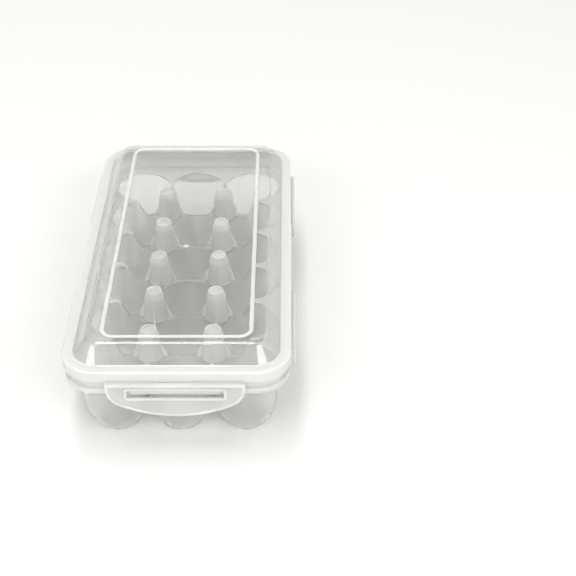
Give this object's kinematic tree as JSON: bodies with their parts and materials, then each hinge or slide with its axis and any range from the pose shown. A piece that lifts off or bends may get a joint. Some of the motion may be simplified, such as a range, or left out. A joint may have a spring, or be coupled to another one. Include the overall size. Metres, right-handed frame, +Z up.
{
  "type": "egg carton",
  "caption": "Clear plastic egg carton: lobed tray of egg cups and divider posts under a domed lift-off lid that hinged clip flaps hold shut.",
  "frame": {"origin": "middle of the carton, on the surface that its cups stand on", "axes": "+X to the right, +Y along the carton to the back, +Z up"},
  "size_m": [0.1784, 0.3324, 0.092],
  "materials": {
    "tray_plastic": "milky translucent polypropylene",
    "lid_plastic": "clear glossy polypropylene",
    "flap_plastic": "milky translucent polypropylene",
    "seal": "satin white silicone"
  },
  "bodies": {
    "tray": {"egg_cup_1_left": "tray_plastic", "egg_cup_1_middle": "tray_plastic", "egg_cup_1_right": "tray_plastic", "egg_cup_2_left": "tray_plastic", "egg_cup_2_middle": "tray_plastic", "egg_cup_2_right": "tray_plastic", "egg_cup_3_left": "tray_plastic", "egg_cup_3_middle": "tray_plastic", "egg_cup_3_right": "tray_plastic", "egg_cup_4_left": "tray_plastic", "egg_cup_4_middle": "tray_plastic", "egg_cup_4_right": "tray_plastic", "egg_cup_5_left": "tray_plastic", "egg_cup_5_middle": "tray_plastic", "egg_cup_5_right": "tray_plastic", "egg_cup_6_left": "tray_plastic", "egg_cup_6_middle": "tray_plastic", "egg_cup_6_right": "tray_plastic", "divider_post_1_left": "tray_plastic", "divider_post_1_right": "tray_plastic", "divider_post_2_left": "tray_plastic", "divider_post_2_right": "tray_plastic", "divider_post_3_left": "tray_plastic", "divider_post_3_right": "tray_plastic", "divider_post_4_left": "tray_plastic", "divider_post_4_right": "tray_plastic", "divider_post_5_left": "tray_plastic", "divider_post_5_right": "tray_plastic", "tray_rim": "tray_plastic"},
    "lid": {"lid_shell": "lid_plastic", "seal_ring": "seal", "hinge_web_front": "flap_plastic", "hinge_web_back": "flap_plastic", "hinge_web_right_front": "flap_plastic", "hinge_web_right_back": "flap_plastic", "hinge_web_left_front": "flap_plastic", "hinge_web_left_back": "flap_plastic"},
    "flap_front": {"clip_flap_front": "flap_plastic"},
    "flap_back": {"clip_flap_back": "flap_plastic"},
    "flap_right_front": {"clip_flap_right_front": "flap_plastic"},
    "flap_right_back": {"clip_flap_right_back": "flap_plastic"},
    "flap_left_front": {"clip_flap_left_front": "flap_plastic"},
    "flap_left_back": {"clip_flap_left_back": "flap_plastic"}
  },
  "joints": [
    {"name": "lid_lift", "type": "slide", "parent": "tray", "child": "lid", "axis": [0, 0, 1], "range_m": [0, 0.12]},
    {"name": "flap_front_hinge", "type": "hinge", "parent": "lid", "child": "flap_front", "pos_m": [0, -0.1636, 0.0692], "axis": [-1, 0, 0], "range_deg": [0, 110], "deforming": ["hinge_web_front"]},
    {"name": "flap_back_hinge", "type": "hinge", "parent": "lid", "child": "flap_back", "pos_m": [0, 0.1636, 0.0692], "axis": [1, 0, 0], "range_deg": [0, 110], "deforming": ["hinge_web_back"]},
    {"name": "flap_right_front_hinge", "type": "hinge", "parent": "lid", "child": "flap_right_front", "pos_m": [0.0866, -0.0875, 0.0692], "axis": [0, -1, 0], "range_deg": [0, 110], "deforming": ["hinge_web_right_front"]},
    {"name": "flap_right_back_hinge", "type": "hinge", "parent": "lid", "child": "flap_right_back", "pos_m": [0.0866, 0.0875, 0.0692], "axis": [0, -1, 0], "range_deg": [0, 110], "deforming": ["hinge_web_right_back"]},
    {"name": "flap_left_front_hinge", "type": "hinge", "parent": "lid", "child": "flap_left_front", "pos_m": [-0.0866, -0.0875, 0.0692], "axis": [0, 1, 0], "range_deg": [0, 110], "deforming": ["hinge_web_left_front"]},
    {"name": "flap_left_back_hinge", "type": "hinge", "parent": "lid", "child": "flap_left_back", "pos_m": [-0.0866, 0.0875, 0.0692], "axis": [0, 1, 0], "range_deg": [0, 110], "deforming": ["hinge_web_left_back"]}
  ]
}
